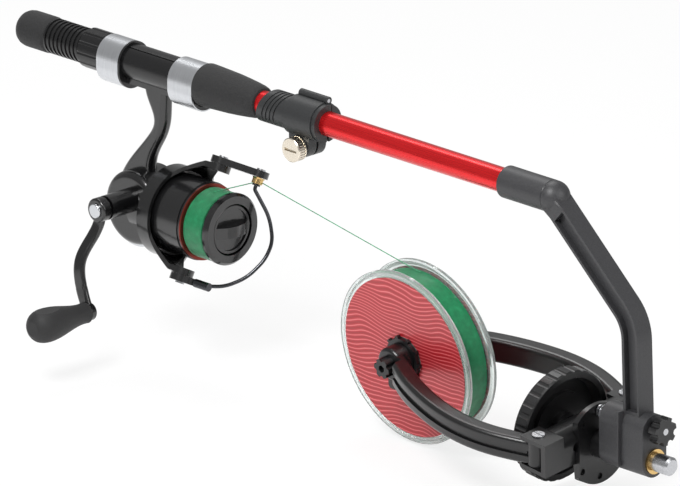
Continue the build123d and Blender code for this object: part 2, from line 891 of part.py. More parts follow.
def arm_strip(inner, outer, half_height):
    """Curved strip between two distances from the arm's centre line."""
    points = arm_centre_line()
    near_edge = Spline(*offset_line(points, inner))
    far_edge = Spline(*offset_line(points, outer))
    ends = [Line(near_edge @ 0, far_edge @ 0), Line(near_edge @ 1, far_edge @ 1)]
    return extrude(make_face([near_edge, far_edge, *ends]), half_height, dir=(0, 0, 1), both=True)


def far_arm():
    """Curved arm with its eye, its tail for the draw bar and the boss at its tip."""
    half = arm_thickness / 2
    strip = arm_strip(-half, half, arm_height / 2)
    long_edges = strip.edges().filter_by(GeomType.BSPLINE)
    strip = fillet(long_edges, arm_round)
    strip -= arm_strip(-half - 1, arm_groove_depth - half, arm_groove / 2)
    tip_end = (tip_x - tip_d, tip_x + tip_d / 2)
    strip -= block(tip_end, (tip_outer, tip_outer + tip_d), (-arm_height, arm_height))
    strip -= block(tip_end, (0, tip_inner), (-arm_height, arm_height))
    eye = bar("z", arm_eye_d, -arm_height / 2, arm_height / 2, pivot_x, pivot_y)
    tail_y = pivot_y - tail_lever
    tail_half = tail_thickness / 2
    tail = block((pivot_x - tail_neck / 2, pivot_x + tail_neck / 2), (tail_y, pivot_y), (-tail_half, tail_half))
    tail += bar("z", tail_d, -tail_half, tail_half, pivot_x, tail_y)
    boss = bar("y", tip_d, tip_inner, tip_outer, tip_x, 0)
    boss = fillet(boss.edges().sort_by(Axis.Y)[-1], boss_round)
    tab_face = tip_outer - boss_round
    tab_sides = (tip_x - tab_width / 2, tip_x + tab_width / 2)
    tab = block(tab_sides, (tab_face - tab_thickness, tab_face), (0, tab_length))
    body = strip + eye + tail + boss + fillet(tab.edges().filter_by(Axis.Y).group_by(Axis.Z)[-1], tab_width / 3)
    body -= bar("z", pivot_pin_d + 2 * running_gap, -arm_height, arm_height, pivot_x, pivot_y)
    return body - bar("y", spindle_d + 2 * running_gap, 0, tip_outer + 1, tip_x, 0)


def pivot_pins():
    """Two headed pins that the arms swing on."""
    top = flange_z + bracket_flange
    pins = []
    for side in (-1, 1):
        pin = bar("z", pivot_pin_d, -top, top, pivot_x, side * pivot_y)
        head = bar("z", pivot_head_d, top, top + pivot_head, pivot_x, side * pivot_y)
        slot = block((pivot_x - pivot_head_d, pivot_x + pivot_head_d),
                     (side * pivot_y - pivot_slot / 2, side * pivot_y + pivot_slot / 2),
                     (top + pivot_head / 2, top + pivot_head))
        pins.append(pin + head - slot)
    return Compound(pins)


def hand_wheel():
    """Dished hand wheel with a scalloped rim and a stepped middle."""
    back = wheel_front + wheel_thickness
    r = wheel_d / 2
    rim_r = r - wheel_rim
    edge = wheel_chamfer
    outline = [
        (wheel_front, stud_d / 2 + bond_gap),
        (wheel_front, r - edge),
        (wheel_front + edge, r),
        (back - edge, r),
        (back, r - edge),
        (back, rim_r),
        (wheel_front + wheel_web, rim_r - wheel_dish),
        (wheel_front + wheel_web, wheel_step_d / 2),
        (wheel_front + wheel_web + wheel_step, wheel_step_d / 2),
        (wheel_front + wheel_web + wheel_step, wheel_hub_d / 2),
        (back, wheel_hub_d / 2),
        (back, stud_d / 2 + bond_gap),
    ]
    wheel = lathe(outline)
    reach = r + wheel_notch_d / 2 - wheel_notch_depth
    wheel = fluted(wheel, wheel_lobes, wheel_notch_d, reach, wheel_front, back)
    return Pos(0, 0, wheel_z) * wheel


def wheel_stud():
    """Threaded stud fixed in the wheel, running through the draw bar."""
    return bar("x", stud_d, wheel_front, pivot_x + draw_bar_width - seat_gap, 0, wheel_z)


def draw_bar():
    """Bar inside the crossbar that pulls both arms' tails along together."""
    half = draw_bar_width / 2
    end = pivot_y - tail_lever + 1
    z = (-draw_bar_height / 2, draw_bar_height / 2)
    body = block((pivot_x - half, pivot_x + half), (-end, end), z)
    slot_half = tail_d / 2 + face_gap
    for side in (-1, 1):
        reach = (side * (pivot_y - tail_lever - tail_d / 2 - draw_bar_wall / 4), side * (end + 1))
        body -= block((pivot_x - slot_half, pivot_x + slot_half), (min(reach), max(reach)), z)
    return body - bar("x", stud_d + 2 * running_gap, pivot_x - half, pivot_x + half, 0, wheel_z)


def far_cone():
    """Disc and cone that centre the spool's bore, with small prongs round the disc."""
    disc_start = spool_half_width + label_thickness + seat_gap
    disc = bar("y", cone_disc_d, disc_start, disc_start + cone_disc)
    nose = Pos(0, spool_half_width - cone_depth, 0) * Rot(-90, 0, 0) * Cone(
        cone_small_d / 2, cone_big_d / 2, cone_depth + label_thickness + seat_gap, align=BASE)
    body = disc + nose
    for step in range(cone_prongs):
        reach = (cone_disc_d / 2 - cone_prong, cone_disc_d / 2 + cone_prong)
        width = (-cone_prong_width / 2, cone_prong_width / 2)
        prong = block(reach, (disc_start, disc_start + cone_disc), width)
        body += Rot(0, 360 * step / cone_prongs, 0) * prong
    return Pos(tip_x, 0, 0) * (body - bar("y", spindle_d + 2 * bond_gap, 0, tip_outer))


def far_spindle():
    """Bolt through the arm's boss with a lobed, hex-recessed knob outside."""
    start = spool_half_width - cone_depth
    knob_start = tip_outer + face_gap
    knob = bar("x", spindle_knob_d, knob_start, knob_start + spindle_knob)
    reach = (spindle_knob_d + spindle_notch_d) / 2 - spindle_notch_depth
    knob = fluted(knob, spindle_lobes, spindle_notch_d, reach, knob_start, knob_start + spindle_knob)
    mouth = Plane(origin=(knob_start + spindle_knob, 0, 0), z_dir=(1, 0, 0))
    knob -= extrude(mouth * RegularPolygon(spindle_hex / 2, 6), -spindle_hex_depth)
    return Pos(tip_x, 0, 0) * Rot(0, 0, 90) * (knob + bar("x", spindle_d, start, knob_start))


def spool_body():
    """Clear spool: drum, bore tube and two rimmed flanges."""
    half = spool_half_width
    outer = spool_flange_d / 2
    rim_inner = outer - spool_rim
    bore = spool_bore_d / 2
    drum = spool_drum_d / 2
    outline = [(0, drum)]
    outline += [(half - spool_flange, drum), (half - spool_flange, rim_inner)]
    outline += [(half - spool_flange - spool_rim_proud, outer - 1), (half - spool_flange, outer)]
    outline += [(half, outer), (half + spool_rim_proud, outer - 1), (half, rim_inner)]
    outline += [(half, bore), (0, bore)]
    side = lathe(outline)
    body = side + Rot(0, 0, 180) * side
    hollow_ends = (-half + spool_flange, half - spool_flange)
    hollow = ring("x", spool_drum_d - 2 * spool_drum_wall, spool_bore_d + 2 * spool_drum_wall, *hollow_ends)
    return Pos(tip_x, 0, 0) * Rot(0, 0, 90) * (body - hollow)


def spool_labels():
    """Paper label on each flange."""
    labels = []
    for side in (-1, 1):
        faces = (side * spool_half_width, side * (spool_half_width + label_thickness))
        labels.append(ring("y", label_d, label_hole_d, min(faces), max(faces), tip_x, 0))
    return Compound(labels)


def braid_winding():
    """Braid on the spool: a plain core with its outer layer wound in turns."""
    half = spool_half_width - spool_flange - spool_rim_proud - bond_gap
    core = ring("x", braid_d, spool_drum_d + 2 * bond_gap, -half, half)
    radius = braid_d / 2 + bond_gap + braid_turn_d / 2
    run = 2 * half - 2 * braid_turn_d
    turns = Pos(-half + braid_turn_d, 0, 0) * wound(radius, braid_turn_d, run, braid_turns, winding_arcs)
    return Pos(tip_x, 0, 0) * Rot(0, 0, 90) * Compound([core, turns])


other_side = Rot(180, 0, 0)
save(
    yoke_base=yoke_base(),
    arm_far=YOKE * far_arm(),
    arm_near=YOKE * other_side * far_arm(),
    arm_pivot_pins=YOKE * pivot_pins(),
    hand_wheel=YOKE * hand_wheel(),
    wheel_stud=YOKE * wheel_stud(),
    draw_bar=YOKE * draw_bar(),
    cone_far=YOKE * far_cone(),
    cone_near=YOKE * other_side * far_cone(),
    spindle_far=YOKE * far_spindle(),
    spindle_near=YOKE * other_side * far_spindle(),
    line_spool_body=YOKE * spool_body(),
    spool_labels=YOKE * spool_labels(),
    braid_winding=YOKE * braid_winding(),
)

# ---- spinning reel: fixed parts -----------------------------------------------------------------

case_inner = case_half_width - cover_thickness
foot_inner = barrel_d / 2 + face_gap
foot_outer = foot_inner + foot_thickness


def reel_foot():
    """Curved foot under the seat, thinned to a toe at each end."""
    full = bar("x", 2 * foot_outer, foot_start, foot_end) - bar("x", 2 * foot_inner, foot_start, foot_end)
    foot = full & block((foot_start, foot_end), (-foot_width / 2, foot_width / 2), (-barrel_d, 0))
    toe = foot_inner + foot_toe
    outline = [
        (foot_start, 0),
        (foot_start, -toe),
        (foot_start + foot_toe_length, -foot_outer),
        (foot_end - foot_toe_length, -foot_outer),
        (foot_end, -toe),
        (foot_end, 0),
    ]
    return foot & plate_y(outline, foot_width)


def reel_stem():
    """Stem from the foot to the gear case, thin at its waist."""
    top = -foot_outer + foot_toe
    rear = Spline((stem_rear_top, 0, top), *[(x, 0, z) for x, z in stem_rear])
    front = Spline((stem_front_top, 0, top), *[(x, 0, z) for x, z in stem_front])
    ends = [Line(rear @ 0, front @ 0), Line(rear @ 1, front @ 1)]
    outline = make_face([rear, front, *ends])
    stem = extrude(outline, stem_thickness / 2, dir=(0, 1, 0), both=True)
    return fillet(stem.edges().filter_by(GeomType.BSPLINE), stem_round)


def case_block(diameter, start, end, front):
    """Round gear case about Y, cut flat where the rotor begins."""
    body = bar("y", diameter, start, end, case_x, case_z)
    return body & block((0, front), (start, end), (case_z - case_d, 0))


def reel_body():
    """One casting: foot, stem, gear case, nose and the boss for the crank's shaft."""
    round_case = bar("y", case_d, -case_half_width, case_inner, case_x, case_z)
    round_case = fillet(round_case.edges().sort_by(Axis.Y)[0], case_round)
    round_case &= block((0, case_front), (-case_half_width, case_inner), (case_z - case_d, 0))
    body = reel_foot() + reel_stem() + round_case
    body += bar("x", case_nose_d, case_x, case_front, 0, reel_z) & block(
        (case_x, case_front), (-case_d, case_inner), (case_z - case_d, 0))
    body += bar("y", gear_boss_d, gear_boss_end, -case_half_width + case_wall, crank_x, crank_z)
    cavity_end = case_front - front_wall
    body -= case_block(case_d - 2 * case_wall, -case_half_width + case_wall, case_inner, cavity_end)
    body -= bar("y", crank_shaft_d + 1, gear_boss_end, 0, crank_x, crank_z)
    seat_d = bearing_d + 2 * bond_gap
    body -= bar("y", seat_d, gear_boss_end, gear_boss_end + bearing_width, crank_x, crank_z)
    return body - bar("x", pinion_sleeve_d + 2 * running_gap, cavity_end, case_front, 0, reel_z)


def cover_screw_places():
    """Places of the side cover's screws, as X and Z."""
    radius = case_d / 2 - 2 * case_wall
    return [(case_x + radius * math.cos(math.radians(angle)), case_z + radius * math.sin(math.radians(angle)))
            for angle in cover_screw_angles]


def reel_side_cover():
    """Domed cover over the gear case with the inner bearing's seat."""
    cover = bar("y", case_d, case_inner + bond_gap, case_half_width, case_x, case_z)
    cover = fillet(cover.edges().sort_by(Axis.Y)[-1], cover_thickness * 0.6)
    cover &= block((0, case_front), (0, case_half_width), (case_z - case_d, 0))
    boss_start = case_inner - bearing_width
    cover += bar("y", gear_boss_d, boss_start, case_inner + 1, crank_x, crank_z)
    cover -= bar("y", bearing_d + 2 * bond_gap, boss_start, case_inner, crank_x, crank_z)
    for x, z in cover_screw_places():
        cover -= bar("y", body_screw_d / 2 + 2 * bond_gap, case_inner, case_half_width, x, z)
    return cover


def reel_screws():
    """Screws of the side cover."""
    screws = []
    for x, z in cover_screw_places():
        top = case_half_width + body_screw_head
        head = bar("y", body_screw_d, case_half_width + bond_gap, top, x, z)
        screws.append(head + bar("y", body_screw_d / 2, case_inner + face_gap, top, x, z))
    return Compound(screws)


def reel_rear_cover():
    """Thin trim shell round the back of the gear case."""
    half = rear_trim_width / 2
    inner = case_d + 2 * bond_gap
    shell = ring("y", inner + 2 * rear_trim_wall, inner, -half, half, case_x, case_z)
    span = (case_x - case_d, case_x + case_d / 6)
    return shell & block(span, (-half, half), (case_z - case_d, case_z + case_d / 8))


def gear_bearings():
    """Two ball bearings of the crank's shaft."""
    bore = crank_shaft_d + 2 * running_gap
    outer = ring("y", bearing_d, bore, gear_boss_end, gear_boss_end + bearing_width, crank_x, crank_z)
    start = case_inner - bearing_width
    inner = ring("y", bearing_d, bore, start, start + bearing_width - face_gap, crank_x, crank_z)
    return Compound([outer, inner])


save(
    reel_body=reel_body(),
    reel_side_cover=reel_side_cover(),
    reel_screws=reel_screws(),
    reel_rear_cover=reel_rear_cover(),
    gear_bearings=gear_bearings(),
)

# ---- spinning reel: crank and drive -------------------------------------------------------------

knob_x = crank_x + crank_lean
knob_z = crank_z - math.sqrt(crank_length**2 - crank_lean**2)
crank_outer = crank_arm_y - crank_arm_thickness
gear_face = -pinion_d / 2 - mesh_gap


def crank_shaft():
    """Shaft from the crank's hub through the drive gear to the inner bearing."""
    start = crank_hub_start - crank_hub_length / 2
    return bar("y", crank_shaft_d, start, case_inner - face_gap, crank_x, crank_z)


def drive_gear():
    """Face gear on the crank's shaft."""
    back = gear_face - drive_tooth - drive_gear_thickness
    gear = bar("y", drive_gear_d, back, gear_face - drive_tooth)
    pitch = math.pi * (drive_gear_d - drive_tooth_length) / drive_gear_teeth
    tooth = block((drive_gear_d / 2 - drive_tooth_length, drive_gear_d / 2 - 0.2),
                  (gear_face - 2 * drive_tooth, gear_face), (-pitch / 5, pitch / 5))
    gear += [Rot(0, 360 * step / drive_gear_teeth, 0) * tooth for step in range(drive_gear_teeth)]
    return Pos(crank_x, 0, crank_z) * (gear - bar("y", crank_shaft_d + 2 * bond_gap, back, 0))


def crank_arm():
    """Cast crank: hub, bowed arm, eye and the knob's spindle."""
    middle_y = crank_arm_y - crank_arm_thickness / 2
    hub_middle = crank_hub_start - crank_hub_length / 2
    path = Spline(
        (crank_x, hub_middle, crank_z),
        (crank_x - crank_bow / 2, hub_middle - 1, crank_z - crank_bow_start),
        (crank_x - crank_bow, middle_y + 2, crank_z - crank_bow_end),
        (crank_x - crank_bow / 2, middle_y, crank_z - crank_bow_last),
        (knob_x, middle_y, knob_z),
    )
    section = Plane(origin=path @ 0, x_dir=(1, 0, 0), z_dir=path % 0)
    arm = sweep(section * RectangleRounded(crank_arm_width, crank_web, crank_web / 2.2), path=path)
    hub = bar("y", crank_hub_d, crank_hub_start - crank_hub_length, crank_hub_start, crank_x, crank_z)
    hub = fillet(hub.edges(), crank_hub_round)
    eye = bar("y", crank_eye_d, crank_outer, crank_arm_y, knob_x, knob_z)
    eye = fillet(eye.edges(), crank_eye_round)
    spindle_end = crank_outer - grip_knob_length * 0.9
    spindle = bar("y", knob_spindle_d, spindle_end, crank_outer + 1, knob_x, knob_z)
    body = arm + hub + eye + spindle
    return body - bar("y", crank_shaft_d + 2 * bond_gap, hub_middle, 0, crank_x, crank_z)


def crank_cap():
    """Cap screw on the outside of the crank's hub."""
    outer = crank_hub_start - crank_hub_length
    cap = bar("y", crank_cap_d, outer - crank_cap_height, outer - bond_gap, crank_x, crank_z)
    return fillet(cap.edges().sort_by(Axis.Y)[0], crank_cap_height / 2)


def crank_knob():
    """Soft grip on the crank: slim at its root, full towards its end and a little flat."""
    length = grip_knob_length
    root = grip_root_d / 2
    belly = grip_belly_d / 2
    outline = Spline((0, 0, root), *[(length * share, 0, radius) for share, radius in grip_course])
    bore = knob_spindle_d / 2 + running_gap
    bore_end = length * grip_course[-2][0]
    rim = Polyline((length, 0, grip_course[-1][1]), (length, 0, 0), (bore_end, 0, 0), (bore_end, 0, bore),
                   (0, 0, bore), (0, 0, root))
    grip = revolve(make_face([outline, *rim.edges()]), Axis.X)
    flattened = grip & block((0, length), (-belly, belly), (-belly * grip_flat, belly * grip_flat))
    start = crank_outer - face_gap
    return Pos(knob_x, start, knob_z) * Rot(0, 0, -90) * flattened


def pinion():
    """Brass pinion and its sleeve, which carries the rotor."""
    start = case_x + drive_gear_d / 2 - pinion_length + pinion_tail
    end = start + pinion_length
    teeth = bar("x", pinion_d - 2 * pinion_tooth, start, end)
    half = math.pi * pinion_d / pinion_teeth / 5
    tooth = block((start, end), (-half, half), (0, pinion_d / 2 - 0.05))
    teeth += around_x(pinion_teeth, tooth)
    sleeve = bar("x", pinion_sleeve_d, end - 0.5, rotor_hub_end)
    body = teeth + sleeve - bar("x", main_shaft_d + 2 * running_gap, start, rotor_hub_end)
    return Pos(0, 0, reel_z) * body


save(
    crank_shaft=crank_shaft(),
    drive_gear=drive_gear(),
    crank_arm=crank_arm(),
    crank_cap=crank_cap(),
    crank_knob=crank_knob(),
    pinion=pinion(),
)

# ---- spinning reel: rotor and bail, in the rotor's frame ----------------------------------------

arm_inner_r = rotor_arm_r - rotor_arm_thickness
lever_inner = rotor_arm_r + face_gap
lever_outer = lever_inner + bail_arm_thickness
roller_outer = lever_inner - face_gap
roller_inner = roller_outer - roller_width


def rotor():
    """Rotor: disc and ring behind the spool, and two arms that sweep forward to the bail's pivots."""
    ring_r = ring_d / 2
    disc_end = rotor_start + rotor_disc
    ring_end = rotor_start + ring_length
    bore = pinion_sleeve_d / 2 + bond_gap
    inner = ring_r - ring_wall
    outline = [(rotor_start, bore), (rotor_start, ring_r), (ring_end, ring_r), (ring_end, inner)]
    outline += [(disc_end, inner), (disc_end, rotor_hub_d / 2)]
    outline += [(rotor_hub_end, rotor_hub_d / 2), (rotor_hub_end, bore)]
    body = lathe(outline)
    shell = lathe([(rotor_start + 1, inner), (ring_end, inner), (bail_x - bail_hub_d / 2, arm_inner_r),
                   (rotor_arm_end, arm_inner_r), (rotor_arm_end, rotor_arm_r),
                   (bail_x - bail_hub_d / 2, rotor_arm_r), (ring_end, ring_r), (rotor_start + 1, ring_r)])
    wide = rotor_arm_width
    tip = rotor_arm_tip_width / 2
    one_side = [(rotor_start, wide), (ring_end, wide), (ring_end + rotor_waist_x, rotor_waist), (bail_x - tip, tip),
                (bail_x, tip)]
    other_side = [(x, -y) for x, y in reversed(one_side)]
    plan = make_face(Polyline(*one_side, *other_side, close=True))
    arms = shell & extrude(plan, 2 * ring_d, dir=(0, 0, 1), both=True)
    for side in (-1, 1):
        levels = (side * (arm_inner_r - 1), side * rotor_arm_r)
        arms += bar("z", rotor_arm_tip_width, min(levels), max(levels), bail_x, 0)
    arms -= bar("z", bail_pin_d + 2 * running_gap, -ring_d, ring_d, bail_x, 0)
    return body + arms


def lever(side, tip_x, tip_y, tip_d):
    """Flat lever on one side of the rotor from the bail's axis to its tip."""
    levels = (side * lever_inner, side * lever_outer)
    low, high = min(levels), max(levels)
    hub = bar("z", bail_hub_d, low, high, bail_x, 0)
    tip = bar("z", tip_d, low, high, tip_x, tip_y)
    along = Vector(tip_x - bail_x, tip_y, 0)
    across = Vector(-along.Y, along.X, 0).normalized()
    hub_side = across * (bail_hub_d / 2 * 0.95)
    tip_side = across * (tip_d / 2 * 0.95)
    start = Vector(bail_x, 0, 0)
    end = Vector(tip_x, tip_y, 0)
    outline = Polyline(start + hub_side, end + tip_side, end - tip_side, start - hub_side, close=True)
    web = Pos(0, 0, low) * extrude(make_face(outline), high - low, dir=(0, 0, 1))
    pin_ends = (side * (arm_inner_r - 1), side * (lever_inner + 1))
    return hub + tip + web + bar("z", bail_pin_d, min(pin_ends), max(pin_ends), bail_x, 0)


def bail_arm():
    """Bail arm with the headed pin that holds the line roller."""
    body = lever(1, roller_x, roller_y, roller_boss_d)
    pin = bar("z", roller_pin_d, roller_inner - face_gap, lever_inner + 1, roller_x, roller_y)
    head_top = roller_inner - face_gap
    return body + pin + bar("z", roller_head_d, head_top - roller_head, head_top, roller_x, roller_y)


counter_x = bail_x + 9.0
counter_z = -(lever_inner + bail_arm_thickness / 2)


def bail_counter_arm():
    """Lever that carries the far end of the bail wire."""
    return lever(-1, counter_x, 0, bail_sleeve_d + 1)


def bail_wire():
    """Bail wire from under the roller round to its sleeve on the counter lever."""
    start_z = roller_inner - face_gap - roller_head
    points = [(roller_x, roller_y, start_z - bond_gap), (roller_x, roller_y, start_z - bail_wire_d)]
    points += [(roller_x + x, roller_y + y, z) for x, y, z in bail_wire_course]
    points.append((counter_x + bail_sleeve_length, bail_wire_d / 4, counter_z))
    points.append((counter_x + bail_sleeve_d / 2 + bail_sleeve_gap, 0, counter_z))
    runs = [(Vector(*after) - Vector(*before)).length for before, after in zip(points, points[1:])]
    radii = []
    for place in range(1, len(points) - 1):
        before = Vector(*points[place]) - Vector(*points[place - 1])
        after = Vector(*points[place + 1]) - Vector(*points[place])
        half_turn = math.radians(before.get_angle(after)) / 2
        radii.append(wire_bend * min(runs[place - 1], runs[place]) / math.tan(half_turn))
    path = FilletPolyline(*points, radius=radii)
    wire = sweep(Plane(origin=path @ 0, z_dir=path % 0) * Circle(bail_wire_d / 2), path=path)
    foot = Plane(origin=path @ 1, z_dir=(path % 1) * -1)
    sleeve = foot * Cylinder(bail_sleeve_d / 2, bail_sleeve_length, align=BASE)
    print("bail wire length", round(path.length, 1), "radii", [round(radius, 1) for radius in radii])
    return wire + sleeve


def line_roller():
    """Brass roller, waisted for the line below its lip."""
    bore = roller_pin_d / 2 + running_gap
    top = roller_outer - face_gap
    waist = roller_d / 2 - roller_groove
    outline = [(roller_inner, bore), (roller_inner, waist), (top - roller_lip, waist)]
    outline += [(top, roller_d / 2), (top, bore)]
    return Pos(roller_x, roller_y, 0) * Rot(0, -90, 0) * lathe(outline)


def bail_screws():
    """Screws in the middle of the bail's pivots and over the roller."""
    screws = []
    for x, y, side in ((roller_x, roller_y, 1), (bail_x, 0, 1), (bail_x, 0, -1)):
        levels = (side * (lever_outer + bond_gap), side * (lever_outer + bail_screw_head))
        screws.append(bar("z", bail_screw_d, min(levels), max(levels), x, y))
    return Compound(screws)


save(
    rotor=ROTOR * rotor(),
    bail_arm=ROTOR * bail_arm(),
    bail_counter_arm=ROTOR * bail_counter_arm(),
    bail_wire=ROTOR * bail_wire(),
    line_roller=ROTOR * line_roller(),
    bail_screws=ROTOR * bail_screws(),
)

# ---- spinning reel: spool and drag --------------------------------------------------------------

trim_end = back_flange + back_flange_thickness + trim_ring
lip_end = lip_start + lip_length
recess_floor = lip_end - drag_recess
washer_pocket = drag_washer_count * (drag_washer + bond_gap) + face_gap
REEL = Pos(0, 0, reel_z)


def reel_spool():
    """Aluminium spool: skirt, back flange, arbor and lip, with a recess for the drag knob."""
    bore = main_shaft_d / 2 + bond_gap
    skirt = skirt_d / 2
    hub = rotor_hub_d / 2
    hub_start = rotor_hub_end + stroke_back + face_gap
    floor = back_flange - skirt_wall
    outline = [
        (hub_start, bore), (hub_start, hub), (floor, hub), (floor, skirt - skirt_wall),
        (skirt_start, skirt - skirt_wall), (skirt_start, skirt), (back_flange, skirt),
        (back_flange, back_flange_d / 2), (back_flange + back_flange_thickness, back_flange_d / 2),
        (back_flange + back_flange_thickness, arbor_d / 2), (lip_start, arbor_d / 2),
        (lip_start, lip_d / 2 - lip_round), (lip_start + lip_round, lip_d / 2),
        (lip_end - lip_round, lip_d / 2), (lip_end, lip_d / 2 - lip_round),
        (lip_end, drag_recess_d / 2), (recess_floor, drag_recess_d / 2),
        (recess_floor, drag_washer_d / 2 + face_gap),
        (recess_floor - washer_pocket, drag_washer_d / 2 + face_gap),
        (recess_floor - washer_pocket, bore),
    ]
    return REEL * lathe(outline)


def spool_trim_ring():
    """Coloured ring against the spool's back flange."""
    start = back_flange + back_flange_thickness + bond_gap
    return REEL * ring("x", back_flange_d, arbor_d + 2 * bond_gap, start, trim_end)


def reel_line():
    """Line on the reel: a plain core with its outer layer wound in turns."""
    start = trim_end + bond_gap
    end = lip_start - bond_gap
    core = ring("x", reel_line_d, arbor_d + 2 * bond_gap, start, end)
    radius = reel_line_d / 2 + bond_gap + reel_turn_d / 2
    run = end - start - 2 * reel_turn_d
    turns = Pos(start + reel_turn_d, 0, 0) * wound(radius, reel_turn_d, run, reel_line_turns, winding_arcs)
    return REEL * Compound([core, turns])


def main_shaft():
    """Shaft that carries the spool back and forth."""
    return REEL * bar("x", main_shaft_d, main_shaft_start, recess_floor + drag_recess / 2)


def drag_washers():
    """Stack of drag washers under the knob."""
    washers = []
    for step in range(drag_washer_count):
        start = recess_floor - washer_pocket + bond_gap + step * (drag_washer + bond_gap)
        washers.append(ring("x", drag_washer_d, main_shaft_d + 4 * running_gap, start, start + drag_washer))
    return REEL * Compound(washers)


def drag_knob():
    """Drag knob: a rimmed disc in the spool's recess with a wing grip across it."""
    start = recess_floor + face_gap
    end = start + drag_knob_rim
    disc = bar("x", drag_knob_d, start, end)
    disc = fillet(disc.edges().sort_by(Axis.X)[-1], 1.0)
    disc -= bar("x", drag_knob_d - 2 * skirt_wall - 1.4, end - 1.0, end)
    half = drag_knob_d / 2 - skirt_wall - 0.8
    reach = end + drag_wing_height
    wing = Polyline((end - 1.2, -half), (end, -half), (reach - 1.5, -half * 0.55), (reach, 0),
                    (reach - 1.5, half * 0.55), (end, half), (end - 1.2, half), close=True)
    wing = Pos(0, 0, -drag_wing_width / 2) * extrude(make_face(wing), drag_wing_width, dir=(0, 0, 1))
    body = disc + chamfer(wing.edges().group_by(Axis.X)[-1], 0.8)
    return REEL * (body - bar("x", main_shaft_d + 2 * running_gap, start, recess_floor + drag_recess / 2 + 0.5))


save(
    reel_spool=reel_spool(),
    spool_trim_ring=spool_trim_ring(),
    reel_line=reel_line(),
    main_shaft=main_shaft(),
    drag_washers=drag_washers(),
    drag_knob=drag_knob(),
)

# ---- the line from the reel over the roller to the spool ----------------------------------------


def tangent_angle(x, y, radius, side):
    """Angle of the point where a tangent from x and y meets a circle about the origin."""
    return math.atan2(y, x) + side * math.acos(radius / math.hypot(x, y))


def across(direction, axle):
    """Unit direction of a run as it is seen along an axle."""
    return (direction - axle * direction.dot(axle)).normalized()


def line_run():
    """The taut line: off the reel's winding, round the roller and on to the spool of braid."""
    reach = reel_line_d / 2 + reel_turn_d + line_d / 2 + 2 * bond_gap
    roller_z = (roller_inner + roller_outer) / 2
    angle = tangent_angle(roller_y, roller_z, reach, 1)
    wind_x = (trim_end + lip_start) / 2
    start = (ROTOR * Pos(wind_x, reach * math.cos(angle), reach * math.sin(angle))).position
    middle = (ROTOR * Pos(roller_x, roller_y, roller_z)).position
    seen = (YOKE.inverse() * Pos(middle.X, middle.Y, middle.Z)).position
    reach = braid_d / 2 + braid_turn_d + line_d / 2 + 2 * bond_gap
    angle = tangent_angle(seen.X - tip_x, seen.Z, reach, -1)
    end = (YOKE * Pos(tip_x + reach * math.cos(angle), line_offset, reach * math.sin(angle))).position
    wrap = roller_d / 2 - roller_groove + line_d / 2 + running_gap
    axle = (ROTOR * Pos(0, 0, 1)).position - ROTOR.position
    corner = middle
    for _ in range(line_passes):
        arriving = across(corner - start, axle)
        leaving = across(end - corner, axle)
        half_turn = math.radians(arriving.get_angle(leaving)) / 2
        corner = middle + (arriving - leaving).normalized() * (wrap / math.cos(half_turn))
    bend = math.radians((corner - start).get_angle(end - corner)) / 2
    radius = line_bend * wrap * math.tan(half_turn) / math.tan(bend)
    path = FilletPolyline(start, corner, end, radius=radius)
    print("line points", [tuple(round(value, 2) for value in point) for point in (start, corner, end)])
    print("line length", round(path.length, 1), "radius", round(radius, 2))
    return sweep(Plane(origin=path @ 0, z_dir=path % 0) * Circle(line_d / 2), path=path)


save(line_run=line_run())
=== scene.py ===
import math

import bpy
from mathutils import Matrix, Vector


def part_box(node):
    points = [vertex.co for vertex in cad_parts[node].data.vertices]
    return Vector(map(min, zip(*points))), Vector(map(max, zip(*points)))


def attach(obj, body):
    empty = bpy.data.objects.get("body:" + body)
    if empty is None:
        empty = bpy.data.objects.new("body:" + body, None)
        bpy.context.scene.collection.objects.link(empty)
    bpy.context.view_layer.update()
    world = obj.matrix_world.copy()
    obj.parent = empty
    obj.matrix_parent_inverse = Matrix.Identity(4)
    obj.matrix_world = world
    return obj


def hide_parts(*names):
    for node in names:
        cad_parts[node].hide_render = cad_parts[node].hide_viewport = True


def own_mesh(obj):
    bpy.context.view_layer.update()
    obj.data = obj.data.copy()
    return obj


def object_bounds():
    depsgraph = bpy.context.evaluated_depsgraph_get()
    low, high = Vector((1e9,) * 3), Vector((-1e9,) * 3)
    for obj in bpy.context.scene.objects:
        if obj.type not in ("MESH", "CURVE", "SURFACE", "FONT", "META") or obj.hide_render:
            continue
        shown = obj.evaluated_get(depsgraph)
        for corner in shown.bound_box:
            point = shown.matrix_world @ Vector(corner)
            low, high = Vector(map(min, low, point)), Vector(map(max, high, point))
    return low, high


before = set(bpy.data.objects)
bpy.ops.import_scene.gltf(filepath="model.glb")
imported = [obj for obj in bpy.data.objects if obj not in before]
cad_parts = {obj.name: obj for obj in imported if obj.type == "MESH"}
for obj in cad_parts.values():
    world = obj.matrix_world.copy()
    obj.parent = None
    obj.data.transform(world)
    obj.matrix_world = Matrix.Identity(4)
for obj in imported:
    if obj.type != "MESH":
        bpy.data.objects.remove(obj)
cad_box = [list(corner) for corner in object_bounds()]
bpy.ops.object.select_all(action="DESELECT")

# ---- camera --------------------------------------------------------------------------------------
# The product view is taken from the crank side, a little above the handle, with a long lens, so
# that the winder's runs stay nearly parallel.
MM = 0.001
camera_azimuth = math.radians(45.5)
camera_elevation = math.radians(18.8)
camera_distance = 12
view_width = 405 * MM
look_at = Vector((272.3, 0, -72.5)) * MM

